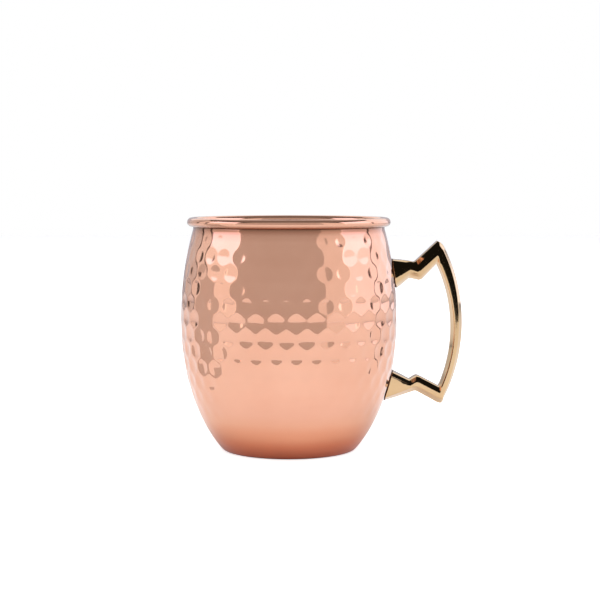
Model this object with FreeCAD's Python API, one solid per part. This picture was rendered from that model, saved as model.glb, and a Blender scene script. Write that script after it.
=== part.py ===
import FreeCAD, Part
import math
import os

# Copper mug: a barrel-shaped copper shell with a rolled rim, a steel cup fitted inside it, and a
# cast brass handle held by two rivets. Millimetres. The origin is the centre of the base, +Z is
# up and the handle stands out along +X.

# Outside of the barrel. Below the belly its side is part of an ellipse, above it part of a circle.
MUG_HEIGHT = 100.0
BELLY_RADIUS = 46.5
BELLY_Z = 56.0
LOWER_SEMI_R = 36.4
LOWER_SEMI_Z = 65.0
UPPER_ARC = 143.5
NECK_Z = 95.0
BASE_CORNER = 2.5
LOWER_STATIONS = (6.0, 12.0, 20.0, 30.0, 42.0)

# Sheet thicknesses.
COPPER_SHEET = 0.8
STEEL_SHEET = 0.45

# Rolled rim: the copper sheet curls outwards into a hollow bead that stays open by a thin slit.
BEAD_RADIUS = 1.9
BEAD_RING = 41.7
BEAD_SLIT = 0.25
LINER_TOP = 96.5

# Handle, in side view (X, Z). It is a bevelled bar, given by pairs of points across it: the first of
# each pair is on the outside of the handle, the second faces the fingers. The arms are straight
# between their pairs, with mitred corners, and the grip is two arcs.
FOOT_ROOT_X = 36.0
UPPER_ROOT = ((FOOT_ROOT_X, 83.7), (FOOT_ROOT_X, 61.9))
UPPER_FOOT = ((44.1, 82.1), (44.6, 68.4))
THUMB_NOTCH = ((52.9, 81.0), (51.9, 74.0))
THUMB_REST = ((54.2, 81.1), (56.2, 73.1))
THUMB_PEAK = ((64.9, 90.0), (63.5, 80.0))
HEEL = ((66.0, 19.6), (64.7, 27.2))
LOWER_DIP = ((54.8, 25.1), (55.6, 31.8))
LOWER_SILL = ((52.0, 24.3), (52.0, 30.2))
LOWER_FOOT = ((41.4, 20.8), (44.4, 34.0))
LOWER_ROOT = ((FOOT_ROOT_X, 19.0), (FOOT_ROOT_X, 38.2))
GRIP_OUTER_ARC = (74.6, 54.4, 73.24)
GRIP_INNER_ARC = (69.75, 52.4, 63.75)
GRIP_STEPS = 6

# Handle, across (Y): the bar widens into its feet. The bevel runs along all four long edges.
BAR_WIDTH = 11.0
NOTCH_WIDTH = 12.5
FOOT_WIDTH = 17.0
ROOT_WIDTH = 21.5
BEVEL = 1.6

# Rivets and the washers under their heads, inside the cup. Each is square to the wall.
RIVET_HEIGHTS = {"upper": 76.0, "lower": 28.0}
SHANK_RADIUS = 1.9
SHANK_DEPTH = 5.5
HEAD_RADIUS = 3.6
HEAD_RISE = 1.5
WASHER_RADIUS = 5.0
WASHER_SHEET = 0.5

CAVITY_INSET = COPPER_SHEET + STEEL_SHEET
HEAD_INSET = CAVITY_INSET + WASHER_SHEET


def vec(r, z, y=0.0):
    """A point of a section drawn in the X-Z plane."""
    return FreeCAD.Vector(r, y, z)


def wall_radius(z):
    """Outside radius of the barrel at a height."""
    if z < BELLY_Z:
        rise = (BELLY_Z - z) / LOWER_SEMI_Z
        return BELLY_RADIUS - LOWER_SEMI_R * (1.0 - math.sqrt(1.0 - rise * rise))
    rise = z - BELLY_Z
    return BELLY_RADIUS - UPPER_ARC + math.sqrt(UPPER_ARC ** 2 - rise ** 2)


def wall_lean(z):
    """How fast the radius grows with height."""
    if z < BELLY_Z:
        rise = (BELLY_Z - z) / LOWER_SEMI_Z
        return LOWER_SEMI_R * rise / (LOWER_SEMI_Z * math.sqrt(1.0 - rise * rise))
    rise = z - BELLY_Z
    return -rise / math.sqrt(UPPER_ARC ** 2 - rise ** 2)


def wall_normal(z):
    """Unit vector out of the barrel's side, in the X-Z plane."""
    lean = wall_lean(z)
    return vec(1.0, -lean).normalize()


def wall_point(z, inset):
    """A point on the side, set in by a sheet thickness."""
    return vec(wall_radius(z), z) - wall_normal(z) * inset


def corner_arc(inset):
    """The rounded corner between the flat base and the side, as three points."""
    radius = BASE_CORNER - inset
    lean_z = BASE_CORNER
    for _ in range(20):
        normal = wall_normal(lean_z)
        centre = wall_point(lean_z, BASE_CORNER)
        lean_z += BASE_CORNER - centre.z
    middle = (normal + vec(0.0, -1.0)).normalize()
    return centre + vec(0.0, -radius), centre + middle * radius, centre + normal * radius


def profile(inset):
    """Edges of the base and side, set in by a sheet thickness, from the axis up to the neck."""
    base_end, base_middle, side_start = corner_arc(inset)
    belly = wall_point(BELLY_Z, inset)
    shoulder = wall_point((BELLY_Z + NECK_Z) / 2.0, inset)
    lower_side = Part.BSplineCurve()
    lower_side.interpolate([side_start] + [wall_point(z, inset) for z in LOWER_STATIONS] + [belly])
    edges = [
        Part.LineSegment(vec(0.0, inset), base_end),
        Part.Arc(base_end, base_middle, side_start),
        lower_side,
        Part.Arc(belly, shoulder, neck_start(inset)),
    ]
    return [edge.toShape() for edge in edges]


def neck_start(inset):
    """Where the side, set in by a sheet thickness, turns straight up into the neck."""
    radius = UPPER_ARC - inset
    r = wall_radius(NECK_Z) - inset
    return vec(r, BELLY_Z + math.sqrt(radius ** 2 - (r - BELLY_RADIUS + UPPER_ARC) ** 2))


def line(start, end):
    """A straight edge."""
    return Part.LineSegment(start, end).toShape()


def turned(edges):
    """The solid that a closed section makes when it is turned about the mug's axis."""
    face = Part.Face(Part.Wire(Part.__sortEdges__(edges)))
    return face.revolve(vec(0.0, 0.0), vec(0.0, 1.0), 360.0)


def cup_solid(inset):
    """Everything inside the surface that lies a given depth under the mug's outside."""
    neck = neck_start(inset)
    brim = vec(neck.x, MUG_HEIGHT)
    rest = [line(neck, brim), line(brim, vec(0.0, MUG_HEIGHT)), line(vec(0.0, MUG_HEIGHT), vec(0.0, inset))]
    return turned(profile(inset) + rest)


def bead_point(r, radius):
    """The point under a circle of the bead, at a distance from the axis."""
    return vec(r, MUG_HEIGHT - BEAD_RADIUS - math.sqrt(radius ** 2 - (r - BEAD_RING) ** 2))


def bead_arc(start, end, radius):
    """A circle of the bead, from one point under it over the top to another."""
    return Part.Arc(start, vec(BEAD_RING, MUG_HEIGHT - BEAD_RADIUS + radius), end).toShape()


def rivet_axis(height):
    """Where a rivet crosses the outside of the barrel, and the way its shank points."""
    return vec(wall_radius(height), height), wall_normal(height)


def shank(height):
    """A rivet's shank, from inside the cup to the bottom of its hole in the handle."""
    point, outward = rivet_axis(height)
    inside = CAVITY_INSET + HEAD_RISE
    return Part.makeCylinder(SHANK_RADIUS, inside + SHANK_DEPTH, point - outward * inside, outward)


def pierced(solid):
    """Cut the two rivets' holes."""
    for height in RIVET_HEIGHTS.values():
        solid = solid.cut(shank(height))
    return solid


def copper_shell():
    """One sheet: flat base, barrel side, straight neck, and a rim curled outwards and down."""
    neck = wall_radius(NECK_Z)
    hollow_radius = BEAD_RADIUS - COPPER_SHEET
    hollow_start = bead_point(neck, hollow_radius)
    hollow_end = bead_point(neck + BEAD_SLIT, hollow_radius)
    curl_end = bead_point(neck + BEAD_SLIT, BEAD_RADIUS)
    curl_start = bead_point(neck - COPPER_SHEET, BEAD_RADIUS)
    rim = [
        line(neck_start(0.0), hollow_start),
        bead_arc(hollow_start, hollow_end, hollow_radius),
        line(hollow_end, curl_end),
        bead_arc(curl_end, curl_start, BEAD_RADIUS),
        line(curl_start, neck_start(COPPER_SHEET)),
    ]
    floor = line(vec(0.0, 0.0), vec(0.0, COPPER_SHEET))
    return pierced(turned(profile(0.0) + rim + profile(COPPER_SHEET) + [floor]))


def steel_liner():
    """A cup that fits against the inside of the shell and stops under the curled rim."""
    outer = vec(neck_start(COPPER_SHEET).x, LINER_TOP)
    inner = vec(neck_start(CAVITY_INSET).x, LINER_TOP)
    rim = [line(neck_start(COPPER_SHEET), outer), line(outer, inner), line(inner, neck_start(CAVITY_INSET))]
    floor = line(vec(0.0, COPPER_SHEET), vec(0.0, CAVITY_INSET))
    return pierced(turned(profile(COPPER_SHEET) + rim + profile(CAVITY_INSET) + [floor]))


def across(pair, width):
    """The bar's eight-sided section between a pair of points."""
    outer = vec(*pair[0])
    inner = vec(*pair[1])
    inward = (inner - outer).normalize()
    depth = (inner - outer).Length
    half = width / 2.0
    ring_points = [(0.0, half - BEVEL), (BEVEL, half), (depth - BEVEL, half), (depth, half - BEVEL)]
    ring_points += [(along, -side) for along, side in reversed(ring_points)]
    corners = [outer + inward * along + FreeCAD.Vector(0.0, side, 0.0) for along, side in ring_points]
    return Part.makePolygon(corners + corners[:1])


def arc_point(arc, share, top_z, low_z):
    """A point of a grip arc, a share of the way from the thumb peak down to the heel."""
    reach, middle_z, radius = arc
    start = math.asin((top_z - middle_z) / radius)
    end = math.asin((low_z - middle_z) / radius)
    turn = start + (end - start) * share
    return reach - radius + radius * math.cos(turn), middle_z + radius * math.sin(turn)


def grip_pair(share):
    """The pair of points across the grip, a share of the way down it."""
    outer = arc_point(GRIP_OUTER_ARC, share, THUMB_PEAK[0][1], HEEL[0][1])
    inner = arc_point(GRIP_INNER_ARC, share, THUMB_PEAK[1][1], HEEL[1][1])
    return outer, inner


def brass_handle():
    grip = [grip_pair(step / GRIP_STEPS) for step in range(GRIP_STEPS + 1)]
    upper = [(UPPER_ROOT, ROOT_WIDTH), (UPPER_FOOT, FOOT_WIDTH), (THUMB_NOTCH, NOTCH_WIDTH),
             (THUMB_REST, BAR_WIDTH), (grip[0], BAR_WIDTH)]
    lower = [(grip[-1], BAR_WIDTH), (LOWER_DIP, BAR_WIDTH), (LOWER_SILL, NOTCH_WIDTH),
             (LOWER_FOOT, FOOT_WIDTH), (LOWER_ROOT, ROOT_WIDTH)]
    upper_arm = Part.makeLoft([across(*station) for station in upper], True, True)
    lower_arm = Part.makeLoft([across(*station) for station in lower], True, True)
    bow = Part.makeLoft([across(pair, BAR_WIDTH) for pair in grip], True, False)
    return pierced(upper_arm.fuse([bow, lower_arm]).cut(cup_solid(0.0)))


def rivet(height):
    """A domed head that bears on its washer, with a shank into the handle's foot."""
    point, outward = rivet_axis(height)
    seat = point - outward * HEAD_INSET
    dome = (HEAD_RADIUS ** 2 + HEAD_RISE ** 2) / (2.0 * HEAD_RISE)
    ball = Part.makeSphere(dome, seat + outward * (dome - HEAD_RISE))
    slab = Part.makeCylinder(HEAD_RADIUS, HEAD_RISE + WASHER_SHEET, seat - outward * HEAD_RISE, outward)
    head = ball.common(slab).common(cup_solid(HEAD_INSET))
    inside = HEAD_INSET + HEAD_RISE / 2.0
    stem = Part.makeCylinder(SHANK_RADIUS, inside + SHANK_DEPTH, point - outward * inside, outward)
    return head.fuse(stem)


def washer(height):
    """A thin washer pressed to the curve of the wall under a rivet's head."""
    point, outward = rivet_axis(height)
    reach = HEAD_INSET + HEAD_RISE
    disc = Part.makeCylinder(WASHER_RADIUS, reach, point - outward * reach, outward)
    sheet = cup_solid(CAVITY_INSET).cut(cup_solid(HEAD_INSET))
    return disc.common(sheet).cut(shank(height))


def main():
    os.makedirs("parts", exist_ok=True)
    pieces = {"copper_shell": copper_shell(), "steel_liner": steel_liner(), "brass_handle": brass_handle()}
    for place, height in RIVET_HEIGHTS.items():
        pieces[place + "_rivet"] = rivet(height)
        pieces[place + "_rivet_washer"] = washer(height)
    for name, shape in pieces.items():
        print(name, shape.isValid(), len(shape.Solids), round(shape.Volume, 1))
        shape.exportStep("parts/" + name + ".step")


main()
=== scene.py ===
import math

import bpy
import numpy as np
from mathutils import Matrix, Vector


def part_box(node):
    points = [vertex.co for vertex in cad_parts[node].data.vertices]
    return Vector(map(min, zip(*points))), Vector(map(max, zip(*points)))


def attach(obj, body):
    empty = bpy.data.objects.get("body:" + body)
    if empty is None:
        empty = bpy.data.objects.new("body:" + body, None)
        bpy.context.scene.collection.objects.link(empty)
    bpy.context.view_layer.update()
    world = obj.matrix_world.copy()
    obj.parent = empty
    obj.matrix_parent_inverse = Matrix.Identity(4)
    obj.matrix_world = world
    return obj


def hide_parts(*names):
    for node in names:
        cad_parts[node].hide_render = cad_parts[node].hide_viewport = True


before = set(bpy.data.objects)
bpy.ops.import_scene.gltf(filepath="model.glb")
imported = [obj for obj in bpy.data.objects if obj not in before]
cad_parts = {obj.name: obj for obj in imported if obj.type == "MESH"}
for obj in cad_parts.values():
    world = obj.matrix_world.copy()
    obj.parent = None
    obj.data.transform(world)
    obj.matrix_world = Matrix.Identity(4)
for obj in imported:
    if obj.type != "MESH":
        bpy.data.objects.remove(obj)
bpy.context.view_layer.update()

# Looks of the copper mug. Lengths are in millimetres in the row frame, and MM turns them into
# Blender's metres when a mesh or light is made. The handle stands out along +X.
MM = 0.001

# Barrel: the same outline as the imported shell, whose height and belly come from its box.
SHELL_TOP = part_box("copper_shell")[1]
MUG_HEIGHT = SHELL_TOP.z / MM
BELLY_RADIUS = SHELL_TOP.y / MM
BELLY_Z = 56.0
LOWER_SEMI_R = 36.4
LOWER_SEMI_Z = 65.0
UPPER_ARC = 143.5
NECK_Z = 95.0
BASE_CORNER = 2.5
COPPER_SHEET = 0.8
STEEL_SHEET = 0.45
BEAD_RADIUS = 1.9
BEAD_RING = 41.7
BEAD_SLIT = 0.25
LINER_TOP = 96.5
AXIS_HOLE = 0.4
LINER_TURNS = 192

# Hammering: staggered rows of shallow round dents that meet in ridges. Each dent is a piece of a
# ball's surface, with its row's ball radius and depth. The first and last rows are the shallowest, so
# their dents shrink and fade out.
DENTS_PER_ROW = 35
TOP_ROW_Z = 91.1
ROW_STEP = 6.55
FIRST_DENT_TURN = -91.4
DENT_BALLS = (22.0, 22.0, 22.0, 22.0, 22.0, 21.0, 18.0, 13.0, 13.0, 14.0, 18.0, 22.0)
DENT_DEPTHS = (0.155, 0.22, 0.265, 0.30, 0.29, 0.35, 0.42, 0.54, 0.51, 0.40, 0.24, 0.13)
DENT_SHIFT = 0.2
DENT_UNEVEN = 0.10
RIDGE_SOFTNESS = 0.025
SHELL_TURNS = DENTS_PER_ROW * 12
SIDE_STEPS = 144

# Painted shade by height in mm, multiplied into the copper's colour: darker and redder at the foot, and a
# painted dark band in the crease under the bead.
PAINTED_HEIGHT_SHADE = (
    (2.0, (0.85, 0.54, 0.42)),
    (6.0, (0.96, 0.67, 0.50)),
    (9.0, (0.98, 0.81, 0.66)),
    (12.0, (0.98, 0.85, 0.73)),
    (15.5, (1.0, 0.97, 0.91)),
    (20.0, (1.0, 1.0, 1.0)),
    (90.6, (1.0, 1.0, 1.0)),
    (93.4, (0.88, 0.84, 0.83)),
    (94.9, (0.62, 0.52, 0.47)),
    (96.0, (0.32, 0.28, 0.24)),
    (96.7, (0.50, 0.45, 0.40)),
    (97.6, (0.97, 0.96, 0.95)),
)
PAINTED_SHADE_SPAN = 100.0

# Handle: a cast bar with a faceted section. A facet plan describes one side of the section, from
# the middle out to the edge of the flat front: half the flat in the middle, then how far the edge
# of the front is set in, and where the bend between the two is, as shares of the way along and in.
ARM_TOP = (3.2, 1.8, 0.5, 0.5)
ARM_BELOW = (0.8, 3.0, 0.62, 0.48)
PEAK_BELOW = (0.9, 2.6, 0.62, 0.48)
FOOT_TOP = (5.0, 2.4, 0.45, 0.12)
KNEE_TOP = (3.8, 2.1, 0.45, 0.3)
ROOT_TOP = (6.0, 2.0, 0.3, 0.15)
SHIN_TOP = (4.6, 1.9, 0.35, 0.17)
SILL_TOP = (3.0, 1.9, 0.4, 0.18)
SILL_BELOW = (0.8, 2.6, 0.66, 0.65)
GRIP_OUT = (1.3, 1.85, 0.5, 0.5)
GRIP_IN = (1.3, 1.1, 0.5, 0.5)

# Stations across the bar from the upper foot to the lower one: the outside point and the
# finger-side point (X, Z), the bar's width in Y, and the plans of its two sides.
UPPER_ARM = (
    ((44.1, 82.1), (44.6, 68.2), 17.0, FOOT_TOP, ARM_BELOW),
    ((48.6, 81.75), (48.6, 71.3), 14.2, KNEE_TOP, ARM_BELOW),
    ((52.3, 81.25), (51.6, 73.9), 12.4, ARM_TOP, ARM_BELOW),
    ((53.3, 80.95), (52.8, 73.8), 12.0, ARM_TOP, ARM_BELOW),
    ((54.2, 81.2), (55.9, 73.1), 11.6, ARM_TOP, ARM_BELOW),
    ((55.0, 81.9), (57.2, 73.5), 11.4, ARM_TOP, ARM_BELOW),
    ((63.7, 89.95), (63.5, 80.0), 11.0, ARM_TOP, PEAK_BELOW),
    ((65.1, 89.3), (63.5, 80.0), 11.0, GRIP_OUT, PEAK_BELOW),
)
LOWER_ARM = (
    ((66.5, 20.4), (64.7, 27.2), 11.0, GRIP_OUT, SILL_TOP),
    ((65.6, 19.6), (64.6, 27.25), 11.0, SILL_BELOW, SILL_TOP),
    ((64.2, 19.95), (64.5, 27.3), 11.0, SILL_BELOW, SILL_TOP),
    ((55.4, 24.8), (56.1, 31.7), 11.5, SILL_BELOW, SILL_TOP),
    ((54.7, 25.05), (54.9, 31.9), 11.6, SILL_BELOW, SILL_TOP),
    ((53.9, 24.95), (53.5, 31.2), 12.0, SILL_BELOW, SILL_TOP),
    ((52.6, 24.5), (52.0, 30.2), 12.4, SILL_BELOW, SILL_TOP),
    ((47.0, 22.6), (48.2, 32.1), 14.4, SILL_BELOW, SHIN_TOP),
    ((41.4, 20.8), (44.4, 34.0), 17.0, SILL_BELOW, ROOT_TOP),
)
# The two arcs of the grip (how far out, middle height, radius), and the heights where they start
# and end, outside and finger side.
GRIP_OUTER = (74.6, 54.4, 73.24)
GRIP_INNER = (69.75, 52.4, 63.75)
GRIP_TOP = (89.3, 80.0)
GRIP_LOW = (20.4, 27.2)
GRIP_STEPS = 44
GRIP_WIDTH = 11.0
# A run longer than this gets more stations, two of them this close to its ends.
LONG_RUN = 3.0
BEND_STATION = 0.35
EDGE_ROUND = 0.22
FACE_CROWN = 0.004
# Each foot stands a little off the wall, round a plug that is this share of its size.
FOOT_GAP = 0.6
FOOT_PLUG = 0.96

# Studio. Each panel fills a range of bearings (0 is towards the camera, 90 is +X) and heights,
# in degrees, with a brightness, a coolness (extra blue) and the softness of its edges. The rest of
# the studio is dark.
PANELS = (
    (-104.0, -62.0, 14.0, 38.0, 1.6, 0.22, 1.5),
    (-104.0, -62.0, -8.0, 14.0, 1.0, 0.0, 1.5),
    (-122.0, -108.0, -8.0, 38.0, 0.85, 0.0, 1.0),
    (-150.0, -126.0, -8.0, 38.0, 0.62, 0.0, 1.0),
    (66.0, 107.0, 14.0, 39.0, 1.6, 0.22, 1.5),
    (66.0, 107.0, -8.0, 14.0, 1.2, 0.1, 1.5),
    (111.0, 150.0, -8.0, 39.0, 1.2, 0.1, 1.0),
    (107.0, 111.0, 16.0, 39.0, 1.4, 0.1, 1.0),
    (150.0, 181.0, -8.0, 14.0, 0.5, 0.1, 2.5),
    (-181.0, -150.0, -8.0, 14.0, 0.5, 0.1, 2.5),
    (150.0, 181.0, 14.0, 52.0, 1.0, 0.0, 2.5),
    (-181.0, -150.0, 14.0, 52.0, 1.0, 0.0, 2.5),
)
STUDIO_DARK = 0.01

# The table, with the glow that only the camera sees, and the lights: overhead, a spot on the table,
# a ceiling for the shell and one for the lining, and two cards in front (left and right edge, glow).
TABLE_SIDE = 1600.0
TABLE_FRONT = -584.0
TABLE_BACK = 2600.0
TABLE_LIFT = 0.7
OVERHEAD_Y = -150.0
OVERHEAD_Z = 900.0
OVERHEAD_SIZE = (2800.0, 1850.0)
OVERHEAD_GLOW = 1.38
SPOT_PLACE = (0.0, -160.0, 700.0)
SPOT_TILT = math.atan2(150.0, 700.0)
SPOT_ANGLE = 19.0
SPOT_RADIUS = 120.0
SPOT_POWER = 7.0
CEILING_Z = 1500.0
CEILING_SIZE = 2400.0
CEILINGS = (("copper_ceiling", 0.2), ("liner_ceiling", 0.75))
CARD_FRONT = -592.0
CARD_LOW = -600.0
CARD_HIGH = 700.0
CARDS = (("grey_card", -1130.0, 455.0, 0.53), ("white_card", 455.0, 1330.0, 0.9))

# Small boards: the two ends of the foot (X, Y), the lowest and highest Z, and the glow.
FLAGS = (
    ("side_flag", (-130.0, -42.0), (-130.0, 14.0), 0.5, 90.0, 0.58),
    ("slim_flag", (60.3, -20.4), (59.75, -18.9), 31.0, 64.0, 0.03),
)

# Camera: place and lens in millimetres, and how far it looks down and to the right in degrees.
CAMERA_PLACE = (0.0, -650.0, 115.2)
CAMERA_LENS = 90.7
CAMERA_DOWN = 4.469
CAMERA_YAW = -0.421


def wall_radius(z):
    """Outside radius of the barrel, before hammering."""
    rise = np.asarray(z, float) - BELLY_Z
    low = np.clip(-rise / LOWER_SEMI_Z, 0.0, 1.0)
    lower = BELLY_RADIUS - LOWER_SEMI_R * (1.0 - np.sqrt(1.0 - low ** 2))
    upper = BELLY_RADIUS - UPPER_ARC + np.sqrt(UPPER_ARC ** 2 - np.clip(rise, 0.0, None) ** 2)
    return np.where(rise < 0.0, lower, upper)


def wall_lean(z):
    """How fast the radius grows with height."""
    rise = np.asarray(z, float) - BELLY_Z
    low = np.clip(-rise / LOWER_SEMI_Z, 0.0, 0.999)
    lower = LOWER_SEMI_R * low / (LOWER_SEMI_Z * np.sqrt(1.0 - low ** 2))
    high = np.clip(rise, 0.0, None)
    return np.where(rise < 0.0, lower, -high / np.sqrt(UPPER_ARC ** 2 - high ** 2))


def wall_normal(z):
    """Unit normal out of the barrel's side, as (r, z) pairs."""
    lean = wall_lean(z)
    length = np.sqrt(1.0 + lean ** 2)
    return np.stack([1.0 / length, -lean / length], -1)


def wall_points(z, inset):
    """Points on the side, set in by a depth, as (r, z) pairs."""
    return np.stack([wall_radius(z), np.asarray(z, float)], -1) - wall_normal(z) * inset


def arc(centre, radius, start, end, steps):
    """Points on a circle, with angles in degrees from +r towards +z."""
    turn = np.radians(np.linspace(start, end, steps + 1))
    return np.stack([centre[0] + radius * np.cos(turn), centre[1] + radius * np.sin(turn)], -1)


def corner_centre():
    """Centre of the rounded base corner, and the height where it meets the side."""
    z = BASE_CORNER
    for _ in range(20):
        centre = wall_points(z, BASE_CORNER)
        z += BASE_CORNER - centre[1]
    return centre, z


def base_and_corner(inset, steps):
    """The flat base and its corner, from near the axis out to the start of the side."""
    centre, z = corner_centre()
    normal = wall_normal(z)
    end = math.degrees(math.atan2(normal[1], normal[0]))
    corner = arc(centre, BASE_CORNER - inset, -90.0, end, steps)
    flat = np.linspace(AXIS_HOLE, corner[0][0], 14)[:-1]
    return np.concatenate([np.stack([flat, np.full(len(flat), inset)], -1), corner])


def mesh_object(name, points, faces, material, smooth=True):
    """A mesh piece from points in millimetres."""
    mesh = bpy.data.meshes.new(name)
    mesh.from_pydata((np.asarray(points) * MM).tolist(), [], faces)
    mesh.validate()
    mesh.polygons.foreach_set("use_smooth", [smooth] * len(mesh.polygons))
    mesh.materials.append(material)
    piece = bpy.data.objects.new(name, mesh)
    bpy.context.scene.collection.objects.link(piece)
    return piece


def loop_faces(rings, around, first=0):
    """Quads between rings of points, each ring closed on itself."""
    faces = []
    for i in range(rings - 1):
        for j in range(around):
            k = (j + 1) % around
            a, b = first + i * around, first + (i + 1) * around
            faces.append((a + j, a + k, b + k, b + j))
    return faces


def lathe(name, section, turns, material, dents=None):
    """Turn a closed section, which starts and ends near the axis, about the mug's axis."""
    angles = np.arange(turns) * 2.0 * math.pi / turns
    r = np.repeat(section[:, :1], turns, 1)
    z = np.repeat(section[:, 1:2], turns, 1)
    if dents is not None:
        first, last = dents
        heights = section[first:last, 1]
        depth = dent_depth(angles[None, :], heights[:, None])
        normal = wall_normal(heights)
        r[first:last] -= depth * normal[:, :1]
        z[first:last] -= depth * normal[:, 1:2]
    points = np.stack([r * np.cos(angles), r * np.sin(angles), z], -1).reshape(-1, 3)
    faces = loop_faces(len(section), turns)
    centres = [[0.0, 0.0, section[0, 1]], [0.0, 0.0, section[-1, 1]]]
    count = len(points)
    last_ring = count - turns
    for j in range(turns):
        k = (j + 1) % turns
        faces.append((count, k, j))
        faces.append((last_ring + j, last_ring + k, count + 1))
    return mesh_object(name, np.concatenate([points, centres]), faces, material)


def dent_places():
    """Every dent as (angle, height, depth), with slight unevenness in place and depth."""
    random = np.random.default_rng(11)
    places = []
    step = 2.0 * math.pi / DENTS_PER_ROW
    for row, depth in enumerate(DENT_DEPTHS):
        z = TOP_ROW_Z - row * ROW_STEP
        turn = math.radians(FIRST_DENT_TURN) + (row % 2) * step / 2.0
        for k in range(DENTS_PER_ROW):
            shift = random.uniform(-DENT_SHIFT, DENT_SHIFT, 2)
            angle = turn + k * step + shift[0] / BELLY_RADIUS
            uneven = 1.0 + random.uniform(-DENT_UNEVEN, DENT_UNEVEN)
            places.append((angle, z + shift[1], depth * uneven))
    return np.array(places).reshape(len(DENT_DEPTHS), DENTS_PER_ROW, 3)


def dent_depth(angle, z):
    """Depth of the hammering under the smooth barrel at each angle and height."""
    places = dent_places()
    radius = wall_radius(z)
    along = np.sqrt(1.0 + wall_lean(z) ** 2)
    total = np.ones(np.broadcast(angle, z).shape)
    for row, ball in zip(places, DENT_BALLS):
        near = np.abs(z[:, 0] - row[:, 1].mean()) < 1.6 * ROW_STEP
        if not near.any():
            continue
        for dent_angle, dent_z, depth in row:
            turn = (angle - dent_angle + math.pi) % (2.0 * math.pi) - math.pi
            close = np.abs(turn[0]) < 1.8 * 2.0 * math.pi / DENTS_PER_ROW
            window = np.ix_(near, close)
            across = turn[:, close] * radius[near]
            up = (z[near] - dent_z) * along[near]
            height = depth - (across ** 2 + up ** 2) / (2.0 * ball)
            total[window] += np.exp(np.clip(height / RIDGE_SOFTNESS, -60.0, 60.0))
    return RIDGE_SOFTNESS * np.log(total)


def shell_section():
    """The copper sheet's closed section, and the range of its points that is hammered."""
    neck = float(wall_radius(NECK_Z))
    side_start = corner_centre()[1]
    outside = base_and_corner(0.0, 6)
    heights = np.linspace(side_start, NECK_Z, SIDE_STEPS + 1)[1:]
    side = wall_points(heights, 0.0)
    first = len(outside)
    centre = (BEAD_RING, MUG_HEIGHT - BEAD_RADIUS)
    hollow = BEAD_RADIUS - COPPER_SHEET
    start = -math.degrees(math.acos((neck - BEAD_RING) / hollow))
    stop = -math.degrees(math.acos((neck + BEAD_SLIT - BEAD_RING) / hollow))
    curl_end = -math.degrees(math.acos((neck + BEAD_SLIT - BEAD_RING) / BEAD_RADIUS))
    curl_start = -math.degrees(math.acos((neck - COPPER_SHEET - BEAD_RING) / BEAD_RADIUS))
    inner_hollow = arc(centre, hollow, start, stop - 360.0, 9)
    outer_curl = arc(centre, BEAD_RADIUS, curl_end, curl_start + 360.0, 24)
    inner_z = np.linspace(NECK_Z, side_start, 14)
    floor = base_and_corner(COPPER_SHEET, 4)[::-1]
    inside = np.concatenate([wall_points(inner_z, COPPER_SHEET), floor[1:]])
    section = np.concatenate([outside, side, inner_hollow, outer_curl, inside])
    return section, (first, first + len(side))


def liner_section():
    """The steel cup's closed section."""
    side_start = corner_centre()[1]
    heights = np.linspace(side_start, NECK_Z, 90)
    cavity = COPPER_SHEET + STEEL_SHEET
    outside = np.concatenate([base_and_corner(COPPER_SHEET, 5), wall_points(heights, COPPER_SHEET)[1:]])
    inside = np.concatenate([base_and_corner(cavity, 5), wall_points(heights, cavity)[1:]])
    round_off = STEEL_SHEET / 2.0
    middle = float(wall_radius(NECK_Z)) - COPPER_SHEET - round_off
    lip = arc((middle, LINER_TOP - round_off), round_off, 0.0, 180.0, 6)
    return np.concatenate([outside, lip, inside[::-1]])


def side_corners(half, plan):
    """Three corners of one side of the section: distance in, and half width."""
    flat, set_in, along, inward = plan
    return [(0.0, flat), (set_in * inward, flat + (half - flat) * along), (set_in, half)]


def bar_ring(outer, inner, width, outer_plan, inner_plan):
    """The faceted section of the handle at a station, as points in order round the bar."""
    outer = np.array([outer[0], 0.0, outer[1]])
    inner = np.array([inner[0], 0.0, inner[1]])
    depth = np.linalg.norm(inner - outer)
    inward = (inner - outer) / depth
    corners = side_corners(width / 2.0, outer_plan)
    corners += [(depth - a, y) for a, y in reversed(side_corners(width / 2.0, inner_plan))]
    corners += [(a, -y) for a, y in reversed(corners)]
    points = []
    for i, here in enumerate(corners):
        before = np.array(corners[i - 1])
        here = np.array(here)
        after = np.array(corners[(i + 1) % len(corners)])
        points += rounded_corner(before, here, after)
        points += crowned_face(here, after, (depth / 2.0, 0.0))
    return [outer + inward * a + np.array([0.0, y, 0.0]) for a, y in points]


def rounded_corner(before, here, after):
    """Three points that soften one corner of the section."""
    back = (before - here) / np.linalg.norm(before - here)
    ahead = (after - here) / np.linalg.norm(after - here)
    start = here + back * EDGE_ROUND
    end = here + ahead * EDGE_ROUND
    return [start, (start + end + 2.0 * here) / 4.0, end]


def crowned_face(start, end, middle):
    """Two points inside a face, raised a little so that the face is slightly convex."""
    along = end - start
    out = np.array([along[1], -along[0]]) / np.linalg.norm(along)
    if np.dot(out, (start + end) / 2.0 - np.array(middle)) < 0.0:
        out = -out
    rise = FACE_CROWN * np.linalg.norm(along)
    return [start + along * share + out * rise for share in (0.35, 0.65)]


def grip_point(curve, share, top, low):
    """A point on one of the grip's arcs, a share of the way down."""
    reach, middle, radius = curve
    start = math.asin((top - middle) / radius)
    end = math.asin((low - middle) / radius)
    turn = start + (end - start) * share
    return (reach - radius + radius * math.cos(turn), middle + radius * math.sin(turn))


def grip_stations():
    """The stations of the curved grip, closer together near its ends."""
    grip = []
    for step in range(1, GRIP_STEPS):
        share = step / GRIP_STEPS
        outer = grip_point(GRIP_OUTER, share, GRIP_TOP[0], GRIP_LOW[0])
        inner = grip_point(GRIP_INNER, share, GRIP_TOP[1], GRIP_LOW[1])
        grip.append((outer, inner, GRIP_WIDTH, GRIP_OUT, GRIP_IN))
    return grip


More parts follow.
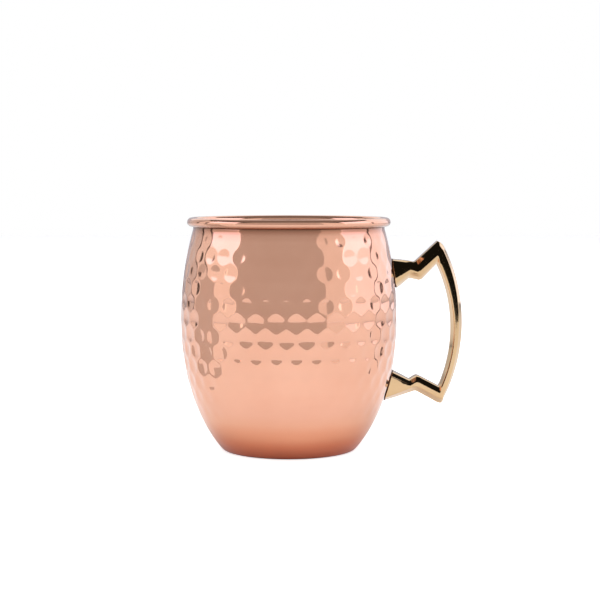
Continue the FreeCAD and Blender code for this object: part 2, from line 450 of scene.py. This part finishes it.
def between(stations):
    """Stations with three more in each longer run, two of them near its ends."""
    out = []
    for here, after in zip(stations, stations[1:]):
        out.append(here)
        run = max(math.dist(here[0], after[0]), math.dist(here[1], after[1]))
        if run > LONG_RUN:
            near = BEND_STATION / run
            out += [mix_station(here, after, share) for share in (near, 0.5, 1.0 - near)]
    return out + [stations[-1]]


def mix_station(here, after, share):
    """A station part of the way from one to the next."""
    def mix(a, b):
        return tuple(p + (q - p) * share for p, q in zip(a, b))
    outer, inner, outer_plan, inner_plan = (mix(here[i], after[i]) for i in (0, 1, 3, 4))
    width = here[2] + (after[2] - here[2]) * share
    return (outer, inner, width, outer_plan, inner_plan)


def land_on_wall(near, far, depth):
    """Carry each point of a ring along its line towards another ring, until it is a depth in the wall."""
    landed = []
    for start, end in zip(near, far):
        step = (end - start) / np.linalg.norm(end - start)
        low, high = 0.0, 30.0
        for _ in range(40):
            middle = (low + high) / 2.0
            point = start + step * middle
            outside = math.hypot(point[0], point[1]) > wall_radius(point[2]) - depth
            low, high = (middle, high) if outside else (low, middle)
        landed.append(start + step * low)
    return landed


def foot_rings(last, before):
    """Rings from a foot's end back to the first whole section: a plug in the wall, then the rim."""
    far = bar_ring(*last)
    near = bar_ring(*before)
    rim = land_on_wall(near, far, -FOOT_GAP)
    middle = sum(rim) / len(rim)
    plug = [on_gap(middle + (point - middle) * FOOT_PLUG) for point in rim]
    sunk = [pull_in(point, COPPER_SHEET + FOOT_GAP) for point in plug]
    close = [start + (end - start) * 0.04 for start, end in zip(rim, near)]
    half = [(start + end) / 2.0 for start, end in zip(rim, near)]
    return [sunk, plug, rim, close, half, near]


def on_gap(point):
    """A point moved along X onto the surface that lies a foot's gap outside the wall."""
    radius = float(wall_radius(point[2])) + FOOT_GAP
    return np.array([math.sqrt(radius ** 2 - point[1] ** 2), point[1], point[2]])


def pull_in(point, depth):
    """A point moved towards the mug's axis."""
    scale = 1.0 - depth / math.hypot(point[0], point[1])
    return np.array([point[0] * scale, point[1] * scale, point[2]])


def build_handle(material):
    """The cast handle: one closed bar from the upper foot to the lower foot."""
    middle = between(UPPER_ARM[1:]) + grip_stations() + between(LOWER_ARM[:-1])
    rings = foot_rings(UPPER_ARM[0], UPPER_ARM[1])
    rings += [bar_ring(*station) for station in middle[1:-1]]
    rings += foot_rings(LOWER_ARM[-1], LOWER_ARM[-2])[::-1]
    around = len(rings[0])
    points = np.array(rings).reshape(-1, 3)
    faces = loop_faces(len(rings), around)
    caps = np.array([np.mean(rings[0], 0), np.mean(rings[-1], 0)])
    last = len(points) - around
    for j in range(around):
        k = (j + 1) % around
        faces.append((len(points), k, j))
        faces.append((last + j, last + k, len(points) + 1))
    handle = mesh_object("handle_casting", np.concatenate([points, caps]), faces, material)
    # The plug faces in each foot's joint take painted shade: near-black, dull brass.
    handle.data.materials.append(painted_crevice_shade())
    plugs = {*range(around * 2), *range((len(rings) - 3) * around, len(faces))}
    handle.data.polygons.foreach_set("material_index", [int(i in plugs) for i in range(len(faces))])
    return handle


def new_material(name):
    """An empty node material and its output."""
    material = bpy.data.materials.new(name)
    material.use_nodes = True
    nodes = material.node_tree.nodes
    nodes.clear()
    return material, nodes, material.node_tree.links, nodes.new("ShaderNodeOutputMaterial")


def noise(nodes, links, scale, detail, stretch=(1.0, 1.0, 1.0)):
    """Noise laid out in the row frame, with features of about 1 / scale metres."""
    place = nodes.new("ShaderNodeTexCoord")
    mapping = nodes.new("ShaderNodeMapping")
    mapping.inputs["Scale"].default_value = stretch
    texture = nodes.new("ShaderNodeTexNoise")
    texture.inputs["Scale"].default_value = scale
    texture.inputs["Detail"].default_value = detail
    links.new(place.outputs["Object"], mapping.inputs["Vector"])
    links.new(mapping.outputs["Vector"], texture.inputs["Vector"])
    return texture.outputs["Fac"]


def ramp(nodes, links, factor, low, high):
    """A colour ramp from one colour to another."""
    node = nodes.new("ShaderNodeValToRGB")
    node.color_ramp.elements[0].position = low[0]
    node.color_ramp.elements[0].color = (*low[1], 1.0)
    node.color_ramp.elements[1].position = high[0]
    node.color_ramp.elements[1].color = (*high[1], 1.0)
    links.new(factor, node.inputs["Fac"])
    return node.outputs["Color"]


def bump(nodes, links, height, distance):
    """A bump of a height in metres."""
    node = nodes.new("ShaderNodeBump")
    node.inputs["Strength"].default_value = 1.0
    node.inputs["Distance"].default_value = distance
    links.new(height, node.inputs["Height"])
    return node.outputs["Normal"]


def metal(nodes, roughness):
    """A bare metal shader."""
    shader = nodes.new("ShaderNodeBsdfPrincipled")
    shader.inputs["Metallic"].default_value = 1.0
    shader.inputs["Roughness"].default_value = roughness
    return shader


def copper_material(name="hammered_copper", haze=0.15):
    """Polished, lacquered copper: a sharp reflection over a broad satin one."""
    material, nodes, links, output = new_material(name)
    sharp = metal(nodes, 0.06)
    broad = metal(nodes, 0.5)
    for shader in (sharp, broad):
        shader.inputs["Coat Weight"].default_value = 0.6
        shader.inputs["Coat Roughness"].default_value = 0.05
    patina = noise(nodes, links, 45.0, 4.0)
    colour = ramp(nodes, links, patina, (0.3, (0.91, 0.475, 0.32)), (0.7, (0.95, 0.515, 0.355)))
    # Painted shade by height: a darker, redder foot and a dark band in the crease under the bead.
    colour = with_painted_height_shade(nodes, links, colour)
    ripple = bump(nodes, links, noise(nodes, links, 420.0, 2.0), 0.000012)
    blend = nodes.new("ShaderNodeMixShader")
    blend.inputs["Fac"].default_value = haze
    for shader in (sharp, broad):
        links.new(colour, shader.inputs["Base Color"])
        links.new(ripple, shader.inputs["Normal"])
    links.new(sharp.outputs["BSDF"], blend.inputs[1])
    links.new(broad.outputs["BSDF"], blend.inputs[2])
    links.new(blend.outputs["Shader"], output.inputs["Surface"])
    return material


def with_painted_height_shade(nodes, links, colour):
    """The copper's colour times the painted shade of its height."""
    place = nodes.new("ShaderNodeTexCoord")
    split = nodes.new("ShaderNodeSeparateXYZ")
    height = nodes.new("ShaderNodeMapRange")
    painted_shade = nodes.new("ShaderNodeValToRGB")
    blend = nodes.new("ShaderNodeMix")
    height.inputs["From Max"].default_value = PAINTED_SHADE_SPAN * MM
    stops = painted_shade.color_ramp.elements
    while len(stops) < len(PAINTED_HEIGHT_SHADE):
        stops.new(0.5)
    for stop, (z, shade) in zip(stops, PAINTED_HEIGHT_SHADE):
        stop.position = z / PAINTED_SHADE_SPAN
        stop.color = (*shade, 1.0)
    blend.data_type = "RGBA"
    blend.blend_type = "MULTIPLY"
    blend.inputs["Factor"].default_value = 1.0
    links.new(place.outputs["Object"], split.inputs["Vector"])
    links.new(split.outputs["Z"], height.inputs["Value"])
    links.new(height.outputs["Result"], painted_shade.inputs["Fac"])
    links.new(colour, blend.inputs["A"])
    links.new(painted_shade.outputs["Color"], blend.inputs["B"])
    return blend.outputs["Result"]


def brass_material(name="polished_brass", roughness=0.06):
    """Mirror-polished cast brass with faint buffing marks."""
    material, nodes, links, output = new_material(name)
    shader = metal(nodes, roughness)
    tone = noise(nodes, links, 60.0, 3.0)
    colour = ramp(nodes, links, tone, (0.3, (0.74, 0.50, 0.27)), (0.7, (0.80, 0.56, 0.32)))
    ripple = bump(nodes, links, noise(nodes, links, 350.0, 2.0), 0.000006)
    links.new(colour, shader.inputs["Base Color"])
    links.new(ripple, shader.inputs["Normal"])
    links.new(shader.outputs["BSDF"], output.inputs["Surface"])
    return material


def steel_material(name="satin_steel", roughness=0.26):
    """Spun stainless steel: fine rings round the cup over a satin finish."""
    material, nodes, links, output = new_material(name)
    shader = metal(nodes, roughness)
    rings = noise(nodes, links, 30.0, 5.0, (0.4, 0.4, 60.0))
    colour = ramp(nodes, links, rings, (0.25, (0.60, 0.585, 0.565)), (0.75, (0.72, 0.705, 0.685)))
    lines = bump(nodes, links, rings, 0.00002)
    links.new(colour, shader.inputs["Base Color"])
    links.new(lines, shader.inputs["Normal"])
    links.new(shader.outputs["BSDF"], output.inputs["Surface"])
    return material


def painted_crevice_shade():
    """Dull, dark brass in the narrow joint between a foot and the wall, as painted shade for the gap."""
    material, nodes, links, output = new_material("joint_painted_shade")
    shader = metal(nodes, 0.6)
    shade_noise = noise(nodes, links, 90.0, 2.0)
    colour = ramp(nodes, links, shade_noise, (0.3, (0.05, 0.022, 0.012)), (0.7, (0.09, 0.042, 0.022)))
    links.new(colour, shader.inputs["Base Color"])
    links.new(shader.outputs["BSDF"], output.inputs["Surface"])
    return material


def floor_material():
    """A white table top, bright enough to burn out to paper white in the picture."""
    material, nodes, links, output = new_material("table_white")
    paper = nodes.new("ShaderNodeBsdfPrincipled")
    paper.inputs["Base Color"].default_value = (0.82, 0.82, 0.82, 1.0)
    paper.inputs["Roughness"].default_value = 0.9
    paper.inputs["Specular IOR Level"].default_value = 0.0
    glow = nodes.new("ShaderNodeEmission")
    glow.inputs["Strength"].default_value = TABLE_LIFT
    lifted = nodes.new("ShaderNodeAddShader")
    seen = nodes.new("ShaderNodeLightPath")
    choose = nodes.new("ShaderNodeMixShader")
    links.new(paper.outputs["BSDF"], lifted.inputs[0])
    links.new(glow.outputs["Emission"], lifted.inputs[1])
    links.new(seen.outputs["Is Camera Ray"], choose.inputs["Fac"])
    links.new(paper.outputs["BSDF"], choose.inputs[1])
    links.new(lifted.outputs["Shader"], choose.inputs[2])
    links.new(choose.outputs["Shader"], output.inputs["Surface"])
    return material


def add_floor():
    """The table. Its front edge is short of the camera, with the dark studio beyond it."""
    left, right = -TABLE_SIDE, TABLE_SIDE
    corners = [(left, TABLE_FRONT), (right, TABLE_FRONT), (right, TABLE_BACK), (left, TABLE_BACK)]
    points = [(x, y, 0.0) for x, y in corners]
    floor = mesh_object("table", points, [(0, 1, 2, 3)], floor_material(), smooth=False)


def add_flags():
    """Small boards beside the mug, seen only in its side: a dim one, and a slim dark one."""
    for name, start, end, low, top, level in FLAGS:
        material, nodes, links, output = new_material(name)
        glow = nodes.new("ShaderNodeEmission")
        glow.inputs["Strength"].default_value = level
        links.new(glow.outputs["Emission"], output.inputs["Surface"])
        points = [(*start, low), (*end, low), (*end, top), (*start, top)]
        flag = mesh_object(name, points, [(0, 1, 2, 3)], material, smooth=False)
        flag.visible_camera = False
        flag.visible_diffuse = False
        flag.visible_shadow = False


def maths(nodes, links, operation, *values):
    """A maths node fed by sockets or numbers."""
    node = nodes.new("ShaderNodeMath")
    node.operation = operation
    for socket, value in zip(node.inputs, values):
        if isinstance(value, (int, float)):
            socket.default_value = value
        else:
            links.new(value, socket)
    return node.outputs["Value"]


def step_between(nodes, links, value, low, high):
    """0 below low, 1 above high, smooth between."""
    node = nodes.new("ShaderNodeMapRange")
    node.interpolation_type = "SMOOTHSTEP"
    node.inputs["From Min"].default_value = low
    node.inputs["From Max"].default_value = high
    links.new(value, node.inputs["Value"])
    return node.outputs["Result"]


def band(nodes, links, value, low, high, soft):
    """1 between two angles in degrees, 0 outside them, with soft edges."""
    rise = step_between(nodes, links, value, math.radians(low - soft), math.radians(low + soft))
    fall = step_between(nodes, links, value, math.radians(high - soft), math.radians(high + soft))
    return maths(nodes, links, "SUBTRACT", rise, fall)


def add_world():
    """The studio as the metal sees it: white panels beside and behind, and nothing lit in front."""
    world = bpy.data.worlds.new("studio")
    bpy.context.scene.world = world
    world.use_nodes = True
    nodes, links = world.node_tree.nodes, world.node_tree.links
    nodes.clear()
    place = nodes.new("ShaderNodeTexCoord")
    split = nodes.new("ShaderNodeSeparateXYZ")
    links.new(place.outputs["Generated"], split.inputs["Vector"])
    x, y, z = (split.outputs[axis] for axis in "XYZ")
    turn = maths(nodes, links, "ARCTAN2", x, maths(nodes, links, "MULTIPLY", y, -1.0))
    rise = maths(nodes, links, "ARCSINE", z)
    total, blue = STUDIO_DARK, STUDIO_DARK
    for left, right, low, high, glow, cool, soft in PANELS:
        across = band(nodes, links, turn, left, right, soft)
        up = band(nodes, links, rise, low, high, soft)
        lit = maths(nodes, links, "MULTIPLY", across, up)
        total = maths(nodes, links, "MULTIPLY_ADD", lit, glow, total)
        blue = maths(nodes, links, "MULTIPLY_ADD", lit, glow * (1.0 + cool), blue)
    seen = nodes.new("ShaderNodeLightPath")
    colour = nodes.new("ShaderNodeCombineColor")
    for channel, level in (("Red", total), ("Green", total), ("Blue", blue)):
        white = maths(nodes, links, "MAXIMUM", level, seen.outputs["Is Camera Ray"])
        links.new(white, colour.inputs[channel])
    shader = nodes.new("ShaderNodeBackground")
    output = nodes.new("ShaderNodeOutputWorld")
    links.new(colour.outputs["Color"], shader.inputs["Color"])
    links.new(shader.outputs["Background"], output.inputs["Surface"])


def softbox(name, place, target, width, height, glow):
    """A rectangular studio light of a given surface brightness, not seen by the camera."""
    data = bpy.data.lights.new(name, "AREA")
    data.shape = "RECTANGLE"
    data.size = width * MM
    data.size_y = height * MM
    data.energy = glow * math.pi * data.size * data.size_y
    light = bpy.data.objects.new(name, data)
    light.location = [c * MM for c in place]
    aim = np.array(target, float) - np.array(place, float)
    yaw = math.atan2(aim[1], aim[0]) - math.pi / 2.0 if math.hypot(aim[0], aim[1]) > 1.0 else 0.0
    pitch = math.atan2(aim[2], math.hypot(aim[0], aim[1])) + math.pi / 2.0
    light.rotation_euler = (pitch, 0.0, yaw)
    light.visible_camera = False
    bpy.context.scene.collection.objects.link(light)
    return light


def table_spot():
    """A soft round pool of light on the table about the mug."""
    data = bpy.data.lights.new("table_spot", "SPOT")
    data.energy = SPOT_POWER
    data.spot_size = math.radians(SPOT_ANGLE)
    data.spot_blend = 1.0
    data.shadow_soft_size = SPOT_RADIUS * MM
    spot = bpy.data.objects.new("table_spot", data)
    spot.location = [c * MM for c in SPOT_PLACE]
    spot.rotation_euler = (SPOT_TILT, 0.0, 0.0)
    spot.visible_camera = False
    spot.visible_glossy = False
    bpy.context.scene.collection.objects.link(spot)


def add_lights(copper, liner):
    """Soft lights over the table, two cards in front for the copper, and a dim ceiling over the cup."""
    table_spot()
    above, below = (0.0, OVERHEAD_Y, OVERHEAD_Z), (0.0, OVERHEAD_Y, 0.0)
    top = softbox("overhead", above, below, *OVERHEAD_SIZE, OVERHEAD_GLOW)
    top.visible_glossy = False
    receivers = bpy.data.collections.new("sees_cards")
    receivers.objects.link(copper)
    for piece, (name, glow) in zip((copper, liner), CEILINGS):
        sees = bpy.data.collections.new("sees_" + name)
        sees.objects.link(piece)
        above, below = (0.0, 0.0, CEILING_Z), (0.0, 0.0, 0.0)
        ceiling = softbox(name, above, below, CEILING_SIZE, CEILING_SIZE, glow)
        ceiling.light_linking.receiver_collection = sees
    for name, left, right, glow in CARDS:
        centre = ((left + right) / 2.0, CARD_FRONT, (CARD_LOW + CARD_HIGH) / 2.0)
        ahead = (centre[0], 0.0, centre[2])
        card = softbox(name, centre, ahead, right - left, CARD_HIGH - CARD_LOW, glow)
        card.light_linking.receiver_collection = receivers


def add_camera():
    """A little above the rim, looking slightly down at the mug, with the handle square to the view."""
    data = bpy.data.cameras.new("camera")
    data.sensor_width = 36.0
    data.lens = CAMERA_LENS
    camera = bpy.data.objects.new("camera", data)
    camera.location = [c * MM for c in CAMERA_PLACE]
    camera.rotation_euler = (math.radians(90.0 - CAMERA_DOWN), 0.0, math.radians(CAMERA_YAW))
    bpy.context.scene.collection.objects.link(camera)
    bpy.context.scene.camera = camera


def dress_cad(node, material):
    """Give a CAD piece that stays as it is a better material."""
    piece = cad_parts[node]
    piece.data.materials.clear()
    piece.data.materials.append(material)


def settle(piece, node):
    """Tie a piece to the mug, in place of its CAD solid."""
    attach(piece, "root")
    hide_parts(node)


def set_colours():
    """Plain display colours, so that white paper stays white."""
    view = bpy.context.scene.view_settings
    view.view_transform = "Standard"
    view.look = "None"
    view.exposure = 0.0
    view.gamma = 1.0


section, hammered = shell_section()
shell = lathe("hammered_shell", section, SHELL_TURNS, copper_material(), hammered)
settle(shell, "copper_shell")
steel = steel_material()
liner = lathe("liner_cup", liner_section(), LINER_TURNS, steel)
settle(liner, "steel_liner")
handle = build_handle(brass_material())
settle(handle, "brass_handle")
handle.visible_glossy = False
rivet_brass = brass_material("rivet_brass", 0.16)
washer_steel = steel_material("washer_steel", 0.32)
for place in ("upper", "lower"):
    dress_cad(place + "_rivet", rivet_brass)
    dress_cad(place + "_rivet_washer", washer_steel)
add_floor()
add_flags()
add_world()
add_lights(shell, liner)
add_camera()
set_colours()
